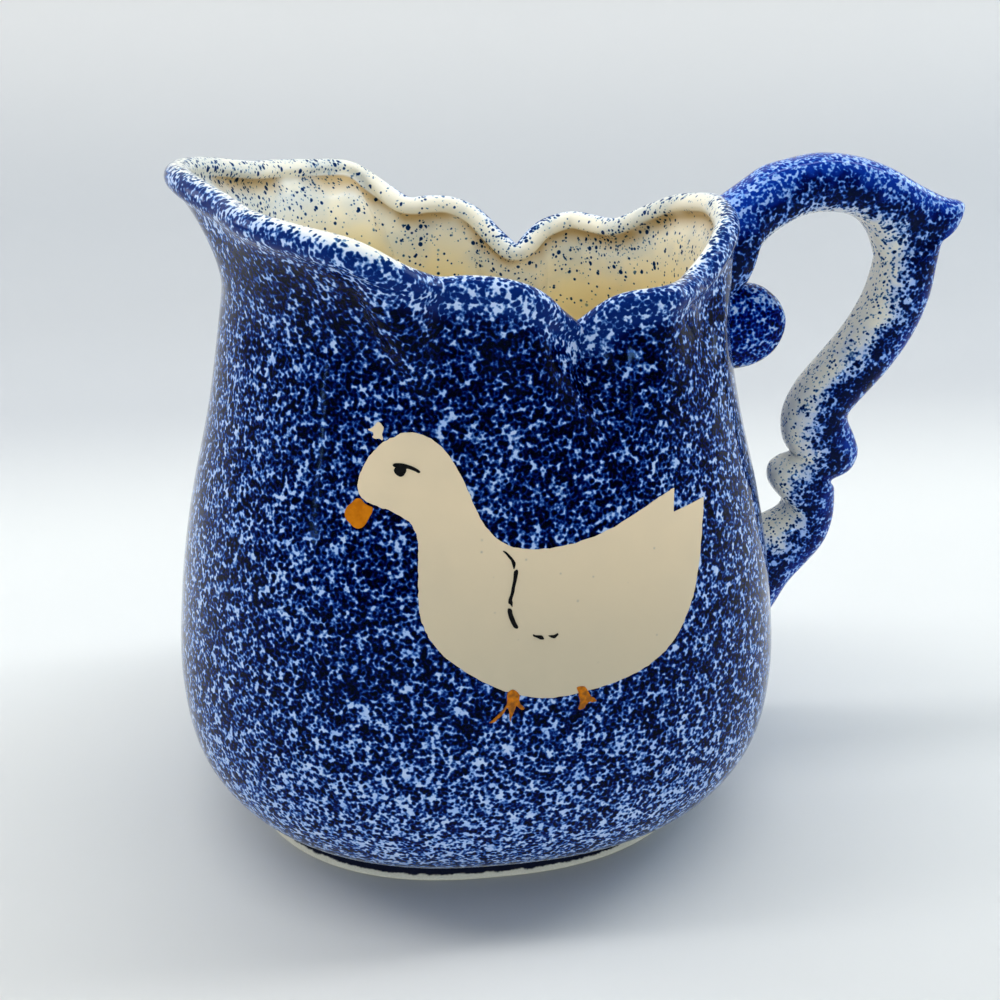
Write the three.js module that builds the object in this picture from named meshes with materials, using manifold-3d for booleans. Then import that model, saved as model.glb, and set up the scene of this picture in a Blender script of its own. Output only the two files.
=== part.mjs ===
// Duck pitcher: a slip-cast ceramic jug with a squarish round belly, a scalloped rolled rim,
// a wide pouring lip, a double scroll handle and a duck painted on its front.
// Millimetres, +Z up. The lip points along -X, the handle along +X and the duck faces -Y.
// Pieces are drawn about the belly's upright axis, and the whole is centred at the end.

import * as THREE from 'three';
import { mergeVertices } from 'three/addons/utils/BufferGeometryUtils.js';
import { TessellateModifier } from 'three/addons/modifiers/TessellateModifier.js';
import Module from 'manifold-3d';

const wasm = await Module();
wasm.setup();

// Fits
const clearance = 0.3; // between clay pieces that are luted together
const coatGap = 0.2; // under each coat of slip or enamel

// Foot
const footHeight = 3;
const footHalfWidth = 58.5;
const footWidth = 6;
const footShift = -2; // the foot sits a little towards the lip

// Wall: half widths along X and the heights where the outside has them
const planDepth = 0.97; // depth along Y for one unit of width along X
const planSquareness = 2.4; // 2 is an ellipse, more is squarer
const baseHalfWidth = 62;
const turnHeight = 8;
const turnHalfWidth = 65.8;
const heelHeight = 20;
const heelHalfWidth = 73.6;
const bellyHeight = 35;
const bellyHalfWidth = 76;
const waistHeight = 58;
const waistHalfWidth = 74;
const shoulderHeight = 80;
const shoulderHalfWidth = 69.7;
const collarHeight = 104;
const collarHalfWidth = 63.1;
const neckHeight = 132;
const neckHalfWidth = 57.3;
const wallThickness = 4.2;
const floorThickness = 4.5;
const floorCorner = 6.3; // from the outside of the turn in to the corner of the floor

// Mouth
const mouthHeight = 138; // the roll's middle at the two front lobes
const rollOverhang = 0.9; // how far the rolled rim stands proud of each side of the wall
const flareDrop = 24; // how far under the rim the wall leaves the neck
const outwardLean = 0.1; // lean of the wall's edge for each millimetre the rim stands out
const inwardLean = 0.02; // and for each millimetre it is pinched in

// Half of the scalloped rim, from the handle round to the lip:
// angle in degrees, outset from the neck's outline, rise above the mouth's height
const rimRows = [
  [0, 1.2, 7.0], // under the handle's root
  [10, 0.9, 6.0],
  [20, 0.0, 4.3],
  [30, -1.9, 0.4],
  [39, -3.7, -3.7], // dip beside the handle
  [48, -1.6, -4.0],
  [56, 0.5, -3.8], // second lobe
  [62, -5.3, -5.8],
  [68, -10.3, -11.5], // pinched notch
  [76, -6.7, -8.0],
  [83, -2.2, -2.7],
  [90, -0.2, 0.0], // first lobe
  [97, -1.1, 0.5],
  [103, -0.9, 0.4], // dip beside the lip
  [108, 7.5, 4.6],
  [114, 11.3, 9.3], // shoulder of the lip
  [125, 7.4, 10.7],
  [137, 4.2, 11.8],
  [150, 1.3, 13.0],
  [166, 5.1, 15.6],
  [180, 8.0, 16.4], // tip of the lip
];

// Handle: half widths along Y
const rootHalfWidth = 8.5;
const gripHalfWidth = 7.5;
const spurHalfWidth = 5.5;
const knuckleHalfWidth = 7;
const curlHalfWidth = 7;
const tipHalfWidth = 4;
const noseHalfWidth = 1; // the blunt end of the round curl
const handleSquareness = 2.5; // of the handle's section, as for the wall's plan

// Upper scroll, from the rim over the top: outer edge x and rise, inner edge x and rise,
// half width. x is measured from the neck's half width, the rise from the mouth's height.
const archRows = [
  [0.7, 8.7, 0.7, -9.3, rootHalfWidth],
  [5.7, 10.5, 6.2, -9.2, rootHalfWidth],
  [9.7, 12.9, 9.7, -7.7, rootHalfWidth],
  [13.8, 15.6, 10.9, -3.8, gripHalfWidth],
  [20.0, 18.1, 15.0, 0.3, gripHalfWidth],
  [27.4, 19.2, 22.7, 4.7, gripHalfWidth],
  [36.3, 18.2, 31.5, 5.3, gripHalfWidth],
  [44.5, 15.5, 37.6, 3.5, gripHalfWidth],
  [52.1, 11.6, 41.1, 0.1, gripHalfWidth],
  [59.4, 8.3, 42.4, -2.6, spurHalfWidth],
  [64.3, 5.5, 43.2, -4.7, spurHalfWidth], // thumb spur
  [62.9, 1.4, 43.8, -6.3, spurHalfWidth],
  [59.6, -1.0, 44.1, -7.8, gripHalfWidth],
  [57.4, -6.4, 43.9, -10.3, gripHalfWidth],
  [57.4, -15.4, 42.4, -16.3, gripHalfWidth],
  [54.6, -25.3, 38.7, -23.4, gripHalfWidth],
  [49.8, -34.4, 33.2, -30.8, gripHalfWidth],
  [43.3, -42.3, 27.6, -38.0, gripHalfWidth],
  [40.8, -46.5, 24.5, -45.4, gripHalfWidth],
  [43.6, -52.2, 24.6, -51.8, knuckleHalfWidth],
  [45.2, -57.0, 26.2, -56.4, knuckleHalfWidth], // outer bead
  [43.7, -61.8, 29.0, -58.5, knuckleHalfWidth],
  [41.0, -63.5, 32.5, -59.9, tipHalfWidth],
];

// Lower scroll, from the knuckle down, in the same measures
const tailRows = [
  [38.2, -61.2, 28.7, -57.0, tipHalfWidth],
  [39.6, -65.8, 24.6, -58.1, knuckleHalfWidth],
  [40.1, -68.8, 22.1, -60.9, knuckleHalfWidth], // inner bead
  [40.4, -71.8, 22.1, -64.8, knuckleHalfWidth],
  [40.3, -75.4, 24.3, -68.3, knuckleHalfWidth],
  [39.1, -80.2, 27.1, -71.2, gripHalfWidth],
  [37.1, -84.4, 26.0, -73.5, gripHalfWidth],
  [33.4, -89.4, 22.1, -75.3, gripHalfWidth],
];

// The lower scroll's foot on the belly, with x measured from the wall at each height instead
const tailFootRows = [
  [10.6, -94.7, 3.0, -76.8, gripHalfWidth],
  [6.8, -101.6, -1.9, -78.0, rootHalfWidth],
  [2.1, -110.5, -7.3, -80.0, rootHalfWidth],
];

// Round curl on the neck: its upper and lower edges, from the wall outwards
const curlRows = [
  [-0.3, -10.4, -0.3, -32.4, curlHalfWidth],
  [8.7, -9.9, 8.7, -33.1, curlHalfWidth],
  [14.2, -10.5, 14.2, -31.9, curlHalfWidth],
  [18.4, -13.9, 18.4, -28.9, curlHalfWidth],
  [20.6, -18.3, 20.6, -24.6, tipHalfWidth],
  [21.2, -20.9, 21.2, -21.9, noseHalfWidth],
];

// Duck: coats and strokes. Its points are across and up from its middle.
const duckAcross = 8; // its middle, towards the handle from the belly's axis
const duckHeight = 80; // its middle, above the table
const slipThickness = 0.5;
const enamelThickness = 0.4;
const strokeWidth = 0.9;

// Back, neck, head, breast and belly, from the upper tail tip round to the lower one
const duckUpperTail = [27.9, 16.7];
const duckOutline = [
  [22.6, 14.9],
  [11.1, 10.5],
  [0.4, 8.7], // back
  [-7.9, 9.8],
  [-12.9, 14.5],
  [-16.5, 22.9],
  [-20.4, 29.2],
  [-26.0, 32.0], // crown
  [-31.5, 29.9],
  [-35.2, 26.0],
  [-37.0, 21.5], // face
  [-36.3, 18.9],
  [-34.2, 17.8],
  [-30.2, 16.5], // chin
  [-26.8, 14.1],
  [-25.8, 10.7],
  [-26.0, 6.2],
  [-26.2, -1.3],
  [-25.7, -4.9], // breast
  [-23.9, -9.0],
  [-19.9, -13.5],
  [-13.9, -17.6],
  [-8.7, -20.3],
  [-2.5, -22.0], // belly
  [2.4, -22.2],
  [9.4, -21.4],
  [16.3, -20.1],
  [22.7, -17.8],
  [27.7, -14.0],
  [31.4, -8.0],
  [33.5, -0.7],
  [35.4, 13.0], // lower tail tip
];
const duckTailNotch = [27.5, 11.9];

const billOutline = [
  [-37.2, 18.6],
  [-36.2, 17.6],
  [-34.4, 16.9],
  [-35.0, 15.5],
  [-36.1, 14.0],
  [-37.3, 13.1],
  [-38.4, 13.3],
  [-39.7, 14.6],
  [-39.8, 15.7],
  [-39.3, 16.9],
  [-38.3, 17.9],
];
const eyeOutline = [
  [-30.1, 25.6],
  [-29.3, 26.0],
  [-28.0, 26.0],
  [-26.8, 25.6],
  [-24.7, 24.4],
  [-25.5, 24.3],
  [-27.2, 25.0],
  [-27.3, 24.4],
  [-27.8, 23.7],
  [-28.6, 23.4],
  [-29.4, 23.7],
  [-29.8, 24.6],
  [-29.6, 25.2],
];
const smudgeOutline = [
  [-32.5, 33.7],
  [-32.0, 33.6],
  [-31.5, 32.7],
  [-31.8, 31.4],
  [-31.7, 30.9],
  [-32.9, 30.6],
  [-33.6, 31.0],
  [-33.4, 31.8],
  [-34.3, 32.3],
  [-33.5, 32.9],
];
const frontFootOutline = [
  [-9.0, -20.7],
  [-6.6, -21.4],
  [-6.4, -22.3],
  [-5.6, -24.2],
  [-7.2, -23.4],
  [-8.4, -26.9],
  [-8.8, -23.7],
  [-9.4, -24.0],
  [-12.7, -26.7],
  [-9.3, -22.2],
];
const backFootOutline = [
  [5.8, -22.4],
  [8.0, -22.1],
  [8.2, -22.7],
  [9.6, -24.1],
  [7.8, -24.0],
  [7.0, -25.4],
  [6.0, -25.6],
  [6.2, -23.5],
];
const wingStrokes = {
  wing_stroke_upper: [[-9.1, 8.7], [-8.0, 7.9], [-7.1, 6.7], [-7.0, 5.7]],
  wing_stroke_middle: [[-6.6, 4.2], [-7.1, 2.2], [-7.9, -0.5], [-8.0, -1.3]],
  wing_stroke_lower: [[-8.3, -2.9], [-7.9, -4.3], [-7.0, -6.7]],
  wing_dash_left: [[-3.5, -8.5], [-2.6, -8.9], [-1.6, -9.3]],
  wing_dash_right: [[-0.1, -9.0], [0.6, -9.2], [1.4, -8.8]],
};

// Fineness of the solids
const columns = 80; // round the body
const ringSpacing = 6; // the most between the wall's rings, so that the coats lie close on it
const handleSides = 14; // round the handle's section
const stepsPerRow = 2; // along the handle, for each of its rows
const flareSteps = 6; // up the flared mouth
const rollSides = 11; // round the rolled rim, over its flat seat
const coatEdge = 5; // longest edge in a painted coat
const coatSplits = 16; // the most times that a coat's edges are halved
const outlineSteps = 3; // along the duck's outline, for each of its points
const strokeSteps = 4; // along each brush stroke

const across = new THREE.Vector3(0, 1, 0);

// Closes a stack of rings into one skin, with each face split along its shorter diagonal.
// A ring of one point is a pole, and a loop of rings joins its last ring to its first.
function skin(rings, isLoop = false) {
  const points = [];
  const faces = [];
  const starts = rings.map((ring) => points.push(...ring) - ring.length);
  const bands = isLoop ? rings.length : rings.length - 1;
  for (let i = 0; i < bands; i += 1) {
    const next = (i + 1) % rings.length;
    const lower = rings[i].length;
    const upper = rings[next].length;
    const count = Math.max(lower, upper);
    for (let j = 0; j < count; j += 1) {
      const a = starts[i] + (j % lower);
      const b = starts[i] + ((j + 1) % lower);
      const c = starts[next] + ((j + 1) % upper);
      const d = starts[next] + (j % upper);
      const rising = points[a].distanceTo(points[c]);
      const falling = points[b].distanceTo(points[d]);
      if (a === b) faces.push(a, c, d);
      else if (c === d) faces.push(a, b, c);
      else if (rising < falling) faces.push(a, b, c, a, c, d);
      else faces.push(a, b, d, b, c, d);
    }
  }
  const geometry = new THREE.BufferGeometry().setFromPoints(points);
  geometry.setIndex(faces);
  return geometry;
}

function toSolid(geometry) {
  const vertProperties = Float32Array.from(geometry.attributes.position.array);
  const triVerts = Uint32Array.from(geometry.index.array);
  return new wasm.Manifold(new wasm.Mesh({ numProp: 3, vertProperties, triVerts }));
}

function fromSolid(solid) {
  const { vertProperties, triVerts } = solid.getMesh();
  const geometry = new THREE.BufferGeometry();
  geometry.setAttribute('position', new THREE.BufferAttribute(vertProperties, 3));
  geometry.setIndex(new THREE.BufferAttribute(triVerts, 1));
  return geometry;
}

function cutAway(geometry, ...others) {
  return fromSolid(others.reduce((solid, other) => solid.subtract(toSolid(other)), toSolid(geometry)));
}

// The belly's outside
const baseHeight = footHeight + clearance;
const wallRows = [
  [baseHeight, baseHalfWidth],
  [turnHeight, turnHalfWidth],
  [heelHeight, heelHalfWidth],
  [bellyHeight, bellyHalfWidth],
  [waistHeight, waistHalfWidth],
  [shoulderHeight, shoulderHalfWidth],
  [collarHeight, collarHalfWidth],
  [neckHeight, neckHalfWidth],
];
const wallProfile = new THREE.CubicInterpolant(
  wallRows.map(([height]) => height),
  wallRows.map(([, halfWidth]) => halfWidth),
  1,
  new Float64Array(1),
);

function wallHalfWidth(height) {
  return wallProfile.evaluate(height)[0];
}

function wallSlope(height) {
  const step = 0.5;
  return (wallHalfWidth(height + step) - wallHalfWidth(height - step)) / (2 * step);
}

// Radius of the plan, for a half width of one, at an angle round the axis
function planRadius(angle) {
  const alongX = Math.abs(Math.cos(angle)) ** planSquareness;
  const alongY = Math.abs(Math.sin(angle) / planDepth) ** planSquareness;
  return (alongX + alongY) ** (-1 / planSquareness);
}

function planPoint(angle, halfWidth, height) {
  const radius = halfWidth * planRadius(angle);
  return new THREE.Vector3(radius * Math.cos(angle), radius * Math.sin(angle), height);
}

function wallPoint(angle, height) {
  return planPoint(angle, wallHalfWidth(height), height);
}

// The rim's middle line, and what stands on it at each column round the body
const rollRadius = wallThickness / 2 + rollOverhang;
const seatDrop = Math.sqrt(rollRadius ** 2 - (wallThickness / 2) ** 2);

function rimPoint([degrees, outset, rise]) {
  const angle = THREE.MathUtils.degToRad(degrees);
  const point = planPoint(angle, neckHalfWidth, mouthHeight + rise);
  const outwards = new THREE.Vector3(Math.cos(angle), Math.sin(angle), 0);
  return point.addScaledVector(outwards, outset);
}

const backRim = rimRows.map(rimPoint);
const frontRim = rimRows.slice(1, -1).reverse().map(rimPoint);
frontRim.forEach((point) => point.setY(-point.y));
const rimLine = new THREE.CatmullRomCurve3([...backRim, ...frontRim], true, 'catmullrom', 0.5);

function rimColumn(index) {
  const share = index / columns;
  const middle = rimLine.getPoint(share);
  const along = rimLine.getTangent(share);
  const angle = Math.atan2(middle.y, middle.x);
  const outset = Math.hypot(middle.x, middle.y) - neckHalfWidth * planRadius(angle);
  const lean = outset * (outset > 0 ? outwardLean : inwardLean);
  const rising = new THREE.Vector3(lean * Math.cos(angle), lean * Math.sin(angle), 1);
  const outwards = along.clone().cross(rising).normalize();
  rising.copy(outwards).cross(along).normalize();
  const seat = middle.clone().addScaledVector(rising, -seatDrop);
  return { middle, angle, rising, outwards, seat };
}

const rimColumns = Array.from({ length: columns }, (_, index) => rimColumn(index));

// The wall's outside from the collar up to its edge under the roll, for one column
function flare({ middle, angle, rising, outwards, seat }) {
  const start = middle.z - flareDrop;
  const foot = wallPoint(angle, start);
  const edge = seat.clone().addScaledVector(rising, -clearance);
  edge.addScaledVector(outwards, wallThickness / 2);
  const reach = foot.distanceTo(edge) / 3;
  const slope = wallSlope(start);
  const leaving = new THREE.Vector3(slope * Math.cos(angle), slope * Math.sin(angle), 1).normalize();
  return new THREE.CubicBezierCurve3(
    foot,
    foot.clone().addScaledVector(leaving, reach),
    edge.clone().addScaledVector(rising, -reach),
    edge,
  ).getPoints(flareSteps);
}

const flares = rimColumns.map(flare);

// The wall's outer rings: level ones up to the shoulder, then ones that rise and fall with the mouth
const lowerHeights = [baseHeight];
for (const level of [turnHeight, heelHeight, bellyHeight, waistHeight, shoulderHeight]) {
  const last = lowerHeights[lowerHeights.length - 1];
  const count = Math.ceil((level - last) / ringSpacing);
  for (let i = 1; i <= count; i += 1) lowerHeights.push(THREE.MathUtils.lerp(last, level, i / count));
}
const outerRings = lowerHeights.map((height) => rimColumns.map(({ angle }) => wallPoint(angle, height)));
const collarSteps = Math.ceil((neckHeight - shoulderHeight) / ringSpacing);
for (let step = 1; step < collarSteps; step += 1) {
  outerRings.push(rimColumns.map(({ angle, middle }) => (
    wallPoint(angle, THREE.MathUtils.lerp(shoulderHeight, middle.z - flareDrop, step / collarSteps))
  )));
}
for (let step = 0; step <= flareSteps; step += 1) {
  outerRings.push(flares.map((points) => points[step]));
}

// Direction out of the wall at a ring and column
function wallNormal(ring, column) {
  if (ring === outerRings.length - 1) return rimColumns[column].outwards;
  const row = outerRings[ring];
  const next = row[(column + 1) % columns];
  const previous = row[(column + columns - 1) % columns];
  const round = next.clone().sub(previous);
  const rising = outerRings[ring + 1][column].clone().sub(outerRings[Math.max(ring - 1, 0)][column]);
  return round.cross(rising).normalize();
}

function shiftedRing(ring, distance) {
  return outerRings[ring].map((point, column) => (
    point.clone().addScaledVector(wallNormal(ring, column), distance)
  ));
}

function bodyShell() {
  const floorHeight = baseHeight + floorThickness;
  const heelRing = lowerHeights.indexOf(heelHeight);
  const innerRings = [];
  for (let ring = outerRings.length - 1; ring >= heelRing; ring -= 1) {
    innerRings.push(shiftedRing(ring, -wallThickness));
  }
  const cornerHalfWidth = turnHalfWidth - floorCorner;
  const cornerRing = rimColumns.map(({ angle }) => planPoint(angle, cornerHalfWidth, floorHeight));
  return skin([
    [new THREE.Vector3(0, 0, baseHeight)],
    ...outerRings,
    ...innerRings,
    cornerRing,
    [new THREE.Vector3(0, 0, floorHeight)],
  ]);
}

// The space that the body fills, to its outside, with room for luting
function bodyRoom() {
  return skin([
    [new THREE.Vector3(0, 0, baseHeight)],
    ...outerRings.map((_, ring) => shiftedRing(ring, clearance)),
    rimColumns.map(({ middle }) => middle),
    [new THREE.Vector3(0, 0, mouthHeight)],
  ]);
}

// A round roll with a flat seat as wide as the wall, carried along the rim
function rolledRim(growth = 0) {
  const radius = rollRadius + growth;
  const seatAngle = Math.asin(seatDrop / rollRadius);
  const sweep = Math.PI + 2 * seatAngle;
  const rings = Array.from({ length: rollSides + 1 }, (_, side) => {
    const turn = (side / rollSides) * sweep - seatAngle;
    return rimColumns.map(({ middle, rising, outwards }) => (
      middle.clone()
        .addScaledVector(outwards, radius * Math.cos(turn))
        .addScaledVector(rising, radius * Math.sin(turn))
    ));
  });
  return skin(rings, true);
}

function footRing() {
  const outer = footHalfWidth;
  const inner = footHalfWidth - footWidth;
  const corners = [[outer, 0], [outer, footHeight], [inner, footHeight], [inner, 0]];
  return skin(corners.map(([halfWidth, height]) => rimColumns.map(({ angle }) => {
    const point = planPoint(angle, halfWidth, height);
    return point.setX(point.x + footShift);
  })), true);
}

// A rounded strap between an outer and an inner edge line, both in the mirror plane.
// Each line's Y carries the strap's half width there.
function strap(stations, growth = 0) {
  const outerLine = new THREE.CatmullRomCurve3(stations.map(({ outer }) => outer), false, 'catmullrom');
  const innerLine = new THREE.CatmullRomCurve3(stations.map(({ inner }) => inner), false, 'catmullrom');
  const steps = (stations.length - 1) * stepsPerRow;
  const rings = [];
  for (let step = 0; step <= steps; step += 1) {
    const outer = outerLine.getPoint(step / steps);
    const inner = innerLine.getPoint(step / steps);
    const halfWidth = outer.y + growth;
    const middle = outer.clone().add(inner).multiplyScalar(0.5).setY(0);
    const thick = outer.clone().sub(inner).multiplyScalar(0.5).setY(0);
    thick.setLength(thick.length() + growth);
    rings.push(Array.from({ length: handleSides }, (_, side) => {
      const turn = (side / handleSides) * 2 * Math.PI;
      const bulge = (value) => Math.sign(value) * Math.abs(value) ** (2 / handleSquareness);
      return middle.clone()
        .addScaledVector(thick, bulge(Math.cos(turn)))
        .addScaledVector(across, -halfWidth * bulge(Math.sin(turn)));
    }));
  }
  const middleOf = (ring) => ring[0].clone().add(ring[handleSides / 2]).multiplyScalar(0.5);
  const endOf = (ring, neighbour) => {
    const beyond = middleOf(ring).sub(middleOf(neighbour)).setLength(growth);
    ring.forEach((point) => point.add(beyond));
    return [middleOf(ring)];
  };
  const start = endOf(rings[0], rings[1]);
  const end = endOf(rings[steps], rings[steps - 1]);
  return skin([start, ...rings, end]);
}

function fromNeck([outerX, outerRise, innerX, innerRise, halfWidth]) {
  return {
    outer: new THREE.Vector3(neckHalfWidth + outerX, halfWidth, mouthHeight + outerRise),
    inner: new THREE.Vector3(neckHalfWidth + innerX, halfWidth, mouthHeight + innerRise),
  };
}

function fromWall([outerX, outerRise, innerX, innerRise, halfWidth]) {
  const outerHeight = mouthHeight + outerRise;
  const innerHeight = mouthHeight + innerRise;
  return {
    outer: new THREE.Vector3(wallHalfWidth(outerHeight) + outerX, halfWidth, outerHeight),
    inner: new THREE.Vector3(wallHalfWidth(innerHeight) + innerX, halfWidth, innerHeight),
  };
}

const archStations = archRows.map(fromNeck);
const tailStations = [...tailRows.map(fromNeck), ...tailFootRows.map(fromWall)];
const curlStations = curlRows.map(fromNeck);

// A point on the front wall, across and up from the duck's middle, lifted off the glaze
function onFrontWall(x, z, lift) {
  const at = (px, pz) => {
    const halfWidth = wallHalfWidth(pz);
    const share = 1 - Math.abs(px / halfWidth) ** planSquareness;
    return new THREE.Vector3(px, -halfWidth * planDepth * share ** (1 / planSquareness), pz);
  };
  const step = 0.5;
  const sideways = at(x + step, z).sub(at(x - step, z));
  const upwards = at(x, z + step).sub(at(x, z - step));
  return at(x, z).addScaledVector(sideways.cross(upwards).normalize(), lift);
}

// A thin coat with the given outline, bent over the front wall
function coat(outline, lift, thickness) {
  const flat = new THREE.ExtrudeGeometry(outline, {
    depth: thickness,
    bevelEnabled: false,
    curveSegments: outlineSteps,
  });
  flat.deleteAttribute('normal');
  flat.deleteAttribute('uv');
  const fine = mergeVertices(new TessellateModifier(coatEdge, coatSplits).modify(flat));
  const position = fine.attributes.position;
  for (let i = 0; i < position.count; i += 1) {
    const x = duckAcross + position.getX(i);
    const z = duckHeight + position.getY(i);
    const point = onFrontWall(x, z, lift + position.getZ(i));
    position.setXYZ(i, point.x, point.y, point.z);
  }
  return fine;
}

const toPoints = (rows) => rows.map(([x, z]) => new THREE.Vector2(x, z));

function duckShape() {
  const shape = new THREE.Shape();
  shape.moveTo(...duckUpperTail);
  shape.splineThru(toPoints(duckOutline));
  shape.lineTo(...duckTailNotch);
  shape.closePath();
  return shape;
}

// A brush stroke: a line with a width and round ends
function strokeShape(rows) {
  const line = new THREE.SplineCurve(toPoints(rows));
  const sides = [1, -1].map((side) => line.getPoints(strokeSteps).map((point, step) => {
    const along = line.getTangent(step / strokeSteps);
    const sideways = new THREE.Vector2(-along.y, along.x);
    return point.addScaledVector(sideways, side * strokeWidth / 2);
  }));
  const endOf = (share, way) => {
    const along = line.getTangent(share);
    return line.getPoint(share).addScaledVector(along, way * strokeWidth / 2);
  };
  return new THREE.Shape([endOf(0, -1), ...sides[1], endOf(1, 1), ...sides[0].reverse()]);
}

// Finishes
const finish = (color, roughness) => new THREE.MeshStandardMaterial({ color, roughness, metalness: 0 });
const blueGlaze = () => finish(0x1c3a86, 0.15);
const rimGlaze = () => finish(0xb9c2d6, 0.15);
const bareClay = () => finish(0xdcd0b4, 0.85);
const creamSlip = () => finish(0xd6ccb2, 0.3);
const ochreEnamel = () => finish(0xc8761a, 0.35);
const blackEnamel = () => finish(0x14120f, 0.3);

const pitcher = new THREE.Group();

function addPiece(name, geometry, material) {
  geometry.computeVertexNormals();
  const mesh = new THREE.Mesh(geometry, material);
  mesh.name = name;
  pitcher.add(mesh);
}

addPiece('body_shell', bodyShell(), blueGlaze());
addPiece('rolled_rim', rolledRim(), rimGlaze());
addPiece('foot_ring', footRing(), bareClay());

const room = bodyRoom();
const rimRoom = rolledRim(clearance);
const archRoom = strap(archStations, clearance);
addPiece('handle_arch', cutAway(strap(archStations), room, rimRoom), blueGlaze());
addPiece('handle_root_scroll', cutAway(strap(curlStations), room, archRoom), blueGlaze());
addPiece('handle_tail', cutAway(strap(tailStations), room, archRoom), blueGlaze());

const onSlip = 2 * coatGap + slipThickness;
const closedShape = (rows) => new THREE.Shape(toPoints(rows));
addPiece('duck_figure', coat(duckShape(), coatGap, slipThickness), creamSlip());
addPiece('slip_smudge', coat(closedShape(smudgeOutline), coatGap, slipThickness), creamSlip());
addPiece('duck_bill', coat(closedShape(billOutline), coatGap, enamelThickness), ochreEnamel());
addPiece('duck_front_foot', coat(closedShape(frontFootOutline), coatGap, enamelThickness), ochreEnamel());
addPiece('duck_back_foot', coat(closedShape(backFootOutline), coatGap, enamelThickness), ochreEnamel());
addPiece('duck_eye', coat(closedShape(eyeOutline), onSlip, enamelThickness), blackEnamel());
Object.entries(wingStrokes).forEach(([name, rows]) => {
  addPiece(name, coat(strokeShape(rows), onSlip, enamelThickness), blackEnamel());
});

// The origin is under the middle of the whole pitcher, on the table
const box = new THREE.Box3().setFromObject(pitcher);
const centre = box.getCenter(new THREE.Vector3());
pitcher.position.set(-centre.x, -centre.y, 0);

export default pitcher;
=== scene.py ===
"""Duck pitcher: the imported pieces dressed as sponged, glazed and painted pottery.

Measures are millimetres about the belly's upright axis, with the lip along -X, the handle
along +X and the duck facing -Y. They become metres in the row frame as a piece is placed.
"""

import math

import bpy
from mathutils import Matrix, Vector, noise


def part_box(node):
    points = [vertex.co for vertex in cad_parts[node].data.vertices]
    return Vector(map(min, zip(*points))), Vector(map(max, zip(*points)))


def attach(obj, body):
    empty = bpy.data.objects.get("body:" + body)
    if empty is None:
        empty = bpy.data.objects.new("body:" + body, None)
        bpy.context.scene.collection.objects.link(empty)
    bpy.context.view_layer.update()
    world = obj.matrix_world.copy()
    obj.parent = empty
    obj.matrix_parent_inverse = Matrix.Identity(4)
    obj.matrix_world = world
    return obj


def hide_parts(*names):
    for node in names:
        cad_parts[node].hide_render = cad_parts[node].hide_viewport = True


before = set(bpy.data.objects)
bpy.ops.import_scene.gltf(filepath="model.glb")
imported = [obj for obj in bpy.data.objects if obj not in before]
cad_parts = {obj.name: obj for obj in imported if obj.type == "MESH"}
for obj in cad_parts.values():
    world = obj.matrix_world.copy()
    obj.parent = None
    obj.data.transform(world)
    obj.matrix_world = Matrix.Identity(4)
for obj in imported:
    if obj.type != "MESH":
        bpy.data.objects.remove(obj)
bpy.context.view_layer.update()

MM = 0.001
shell_low, shell_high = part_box("body_shell")
AXIS = Vector(((shell_low.x + shell_high.x) / 2, (shell_low.y + shell_high.y) / 2, 0))


def placed(point):
    """A point in millimetres about the belly's axis, in metres in the row frame."""
    return AXIS + point * MM


def mixed(a, b, share):
    return a + (b - a) * share


# Belly

PLAN_DEPTH = 0.97  # front to back, as a share of the width
PLAN_SQUARENESS = 2.4  # 2 is an ellipse, and more is squarer
BASE_HEIGHT = 3.3
BASE_EDGE = 0.5  # from the underside up to the wall's first ring
SHOULDER_HEIGHT = 80
WALL_THICKNESS = 4.2
FLOOR_HEIGHT = 7.8
HEEL_HEIGHT = 20
NEAR = 0.5  # half the distance over which a slope is taken
# Half widths of the underside's rings
UNDERSIDE = (50, 56, 58.7)
# Half width and height of the inside's rings, from the heel to the floor
FLOOR = [(67.4, 14.0), (64.6, 9.8), (60.0, 8.1), (53, FLOOR_HEIGHT)]
# Height and half width of the outside
WALL = [
    (BASE_HEIGHT, 59.6),
    (8.0, 65.8),
    (HEEL_HEIGHT, 73.6),
    (35.0, 76.0),
    (58.0, 74.0),
    (SHOULDER_HEIGHT, 69.7),
    (104.0, 63.1),
    (132.0, 57.3),
]
NECK_HALF_WIDTH = WALL[-1][1]

# Mouth
MOUTH_HEIGHT = 138.0
ROLL_RADIUS = 3.0
ROLL_DROP = 2.44  # from the roll's middle down to the top of the wall
ROLL_UNDERCUT = 1.5  # groove under the roll's inner side
UNDERCUT_FADE = 0.45  # share of the groove that each ring further down keeps
# Where the roll leaves the outside and where it meets the inside
ROLL_START, ROLL_END = math.radians(-26), math.radians(206)
FLARE_DROP = 24.0  # from the roll's middle down to where the neck starts to flare
OUTWARD_LEAN = 0.1  # the rim's lean for each millimetre of outset
INWARD_LEAN = 0.02
# Half of the scalloped rim, from the handle to the lip: degrees, outset, rise
RIM = [
    (0, 1.2, 7.0),
    (10, 0.9, 6.0),
    (20, 0.0, 4.3),
    (30, -1.9, 0.4),
    (39, -3.7, -3.7),
    (48, -1.6, -4.0),
    (56, 0.5, -3.8),
    (62, -5.3, -5.8),
    (68, -10.3, -11.5),
    (76, -6.7, -8.0),
    (83, -2.2, -2.7),
    (90, -0.2, 0.0),
    (97, -1.1, 0.5),
    (103, -0.9, 0.4),
    (108, 7.5, 4.6),
    (114, 11.3, 9.3),
    (125, 7.4, 10.7),
    (137, 4.2, 11.8),
    (150, 1.3, 13.0),
    (166, 5.1, 15.6),
    (180, 8.0, 16.4),
]

# Fineness
COLUMNS = 160
RING_SPACING = 3.5
COLLAR_STEPS = 10
FLARE_STEPS = 9
ROLL_STEPS = 14


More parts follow.
